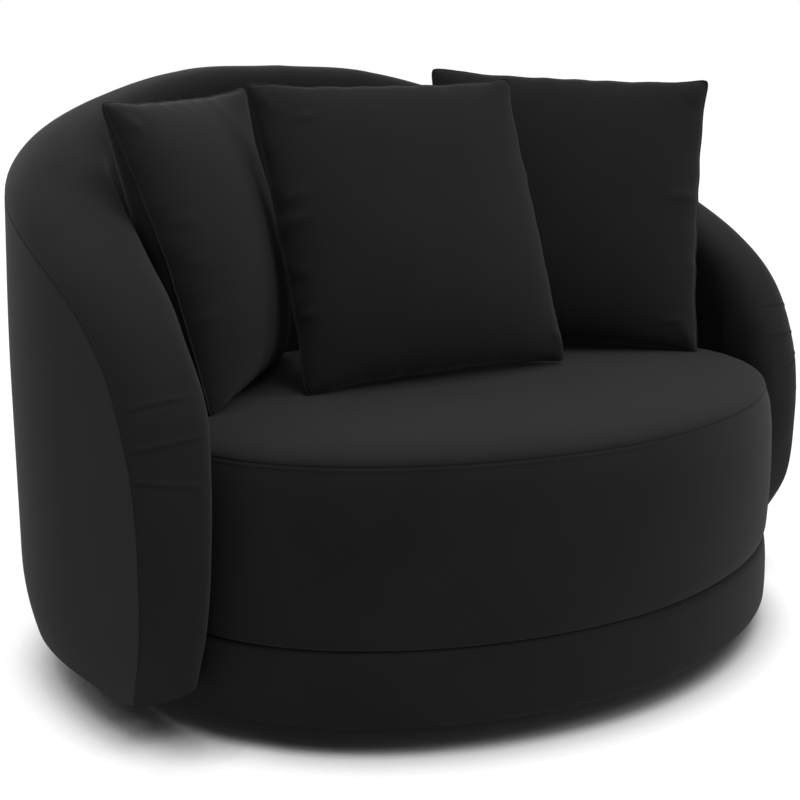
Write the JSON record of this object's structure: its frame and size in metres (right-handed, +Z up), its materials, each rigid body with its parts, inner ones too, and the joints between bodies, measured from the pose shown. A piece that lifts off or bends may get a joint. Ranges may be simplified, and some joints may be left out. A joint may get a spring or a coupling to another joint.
{
  "type": "cuddle chair",
  "caption": "Wide tub armchair with a wrap-around rolled back and arms, a crowned D-shaped seat over an upholstered plinth and loose scatter cushions.",
  "frame": {"origin": "on the floor, at the middle of the chair's footprint box", "axes": "+Z up, the chair faces -Y, +X towards the right-hand arm as seen by someone looking at the chair's front"},
  "size_m": [1.3, 0.979, 0.8713],
  "materials": {
    "upholstery": "soft matt woven upholstery cloth",
    "plywood": "raw plywood",
    "timber": "planed softwood",
    "foam": "cut upholstery foam",
    "wadding": "polyester wadding",
    "webbing": "elastic webbing",
    "dust_cloth": "thin black lining cloth",
    "steel": "drawn spring steel and zinc plate",
    "foot_plastic": "moulded black plastic"
  },
  "bodies": {
    "chair": {"outer_back_cover": "upholstery", "outer_back_board": "plywood", "inner_back_cover": "upholstery", "back_padding": "foam", "rim_padding": "foam", "seat_cover": "upholstery", "seat_foam": "foam", "seat_border_padding": "wadding", "plinth_cover": "upholstery", "plinth_wadding": "wadding", "front_hoop": "plywood", "back_hoop": "plywood", "left_hoop_splice": "plywood", "right_hoop_splice": "plywood", "nose_shelf": "plywood", "top_rail": "plywood", "seat_level_rail": "plywood", "left_arm_profile": "plywood", "right_arm_profile": "plywood", "bottom_rail": "timber", "left_back_post": "timber", "right_back_post": "timber", "left_arm_post": "timber", "right_arm_post": "timber", "left_joist": "timber", "right_joist": "timber", "front_spring_rail": "timber", "back_spring_rail": "timber", "spring_felt": "wadding", "back_strap_1": "webbing", "back_strap_2": "webbing", "back_strap_3": "webbing", "back_strap_4": "webbing", "base_dust_cover": "dust_cloth", "shell_dust_cover": "dust_cloth", "front_clip_strip": "steel", "back_clip_strip": "steel", "zigzag_spring_1": "steel", "zigzag_spring_2": "steel", "zigzag_spring_3": "steel", "zigzag_spring_4": "steel", "zigzag_spring_5": "steel", "zigzag_spring_6": "steel", "left_arm_bolt": "steel", "right_arm_bolt": "steel", "left_back_bolt": "steel", "right_back_bolt": "steel", "front_left_foot": "foot_plastic", "front_right_foot": "foot_plastic", "back_left_foot": "foot_plastic", "back_right_foot": "foot_plastic"},
    "front_cushion": {"front_cushion_cover": "upholstery", "front_cushion_filling": "wadding", "front_cushion_zip": "foot_plastic"},
    "left_cushion": {"left_cushion_cover": "upholstery", "left_cushion_filling": "wadding", "left_cushion_zip": "foot_plastic"},
    "right_cushion": {"right_cushion_cover": "upholstery", "right_cushion_filling": "wadding", "right_cushion_zip": "foot_plastic"}
  },
  "joints": [
    {"name": "front_cushion_lift", "type": "slide", "parent": "chair", "child": "front_cushion", "axis": [-0.1406, -0.9297, 0.3404], "range_m": [0, 0.25]},
    {"name": "left_cushion_lift", "type": "slide", "parent": "chair", "child": "left_cushion", "axis": [-0.1547, 0.1726, 0.9728], "range_m": [0, 0.25]},
    {"name": "right_cushion_lift", "type": "slide", "parent": "chair", "child": "right_cushion", "axis": [0.2386, 0.1992, 0.9505], "range_m": [0, 0.25]}
  ]
}
